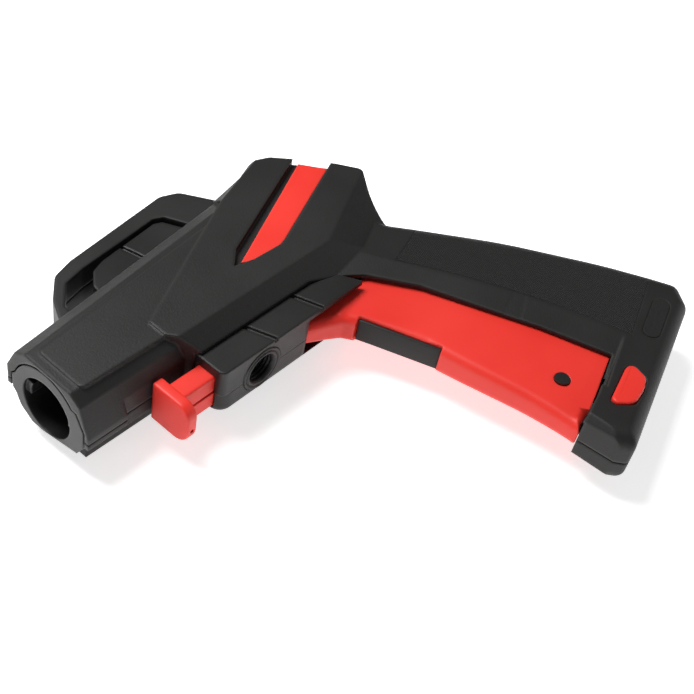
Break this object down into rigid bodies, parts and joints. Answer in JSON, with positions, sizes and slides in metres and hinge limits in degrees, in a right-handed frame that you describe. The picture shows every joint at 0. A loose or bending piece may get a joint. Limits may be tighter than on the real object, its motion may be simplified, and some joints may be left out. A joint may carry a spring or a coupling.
{
  "type": "fire hose nozzle",
  "caption": "Pistol-grip hose nozzle gun with bayonet outlet, long squeeze trigger, sliding selector knob, side port, hook guard and lock button.",
  "frame": {"origin": "centre of the bayonet outlet's front face", "axes": "+X forward out of the outlet, +Y to the gun's underside (selector and trigger side), +Z to the gun's left side"},
  "size_m": [0.2201, 0.2014, 0.0392],
  "materials": {
    "shell": "matt charcoal moulded nylon, fine spark texture",
    "core": "slightly smoother charcoal nylon",
    "pad": "dark soft pad with coarse grain",
    "red": "satin signal-red moulding",
    "insert": "charcoal finger insert",
    "collar": "black glass-filled nylon",
    "tube": "black polyamide",
    "hose": "black reinforced hose",
    "seal": "black nitrile rubber",
    "brass": "machined brass",
    "steel": "stainless steel",
    "screw": "zinc-plated screws"
  },
  "bodies": {
    "frame": {"left_cover": "shell", "right_cover": "shell", "butt_pad_left": "pad", "butt_pad_right": "pad", "cover_screws": "screw", "core_left": "core", "core_right": "core", "port_bushing": "core", "port_gasket": "seal", "port_feed": "brass", "outlet_tube": "tube", "outlet_collar": "collar", "collar_seal": "seal", "valve_body": "brass", "stem_seal": "seal", "valve_seat": "brass", "valve_cap": "brass", "valve_spring": "steel", "inlet_tube": "hose", "inlet_fitting": "brass", "inlet_gasket": "seal", "guard_block_left": "core", "guard_block_right": "core", "badge_strips": "red", "pivot_bracket": "steel", "pivot_pin": "steel", "button_spring": "steel"},
    "trigger": {"trigger_lever": "red", "trigger_insert": "insert"},
    "stem": {"valve_stem": "steel", "valve_poppet": "seal"},
    "selector": {"selector_knob": "red", "selector_spool": "steel", "spool_seals": "seal"},
    "button": {"lock_button": "red"}
  },
  "joints": [
    {"name": "trigger_hinge", "type": "hinge", "parent": "frame", "child": "trigger", "pos_m": [-0.144, 0.115, 0], "axis": [0, 0, -1], "range_deg": [0, 4], "stiffness_Nm_per_rad": 3, "springref_deg": -4.01},
    {"name": "stem_slide", "type": "slide", "parent": "frame", "child": "stem", "axis": [-1, 0, 0], "range_m": [0, 0.0072], "deforming": ["valve_spring"]},
    {"name": "selector_slide", "type": "slide", "parent": "frame", "child": "selector", "axis": [-1, 0, 0], "range_m": [0, 0.009]},
    {"name": "button_slide", "type": "slide", "parent": "frame", "child": "button", "axis": [0, 0, -1], "range_m": [0, 0.0012], "stiffness_N_per_m": 200, "springref_m": -0.001, "deforming": ["button_spring"]}
  ],
  "couplings": [
    {"joint": "stem_slide", "follows": "trigger_hinge", "m_per_rad": 0.0994}
  ]
}
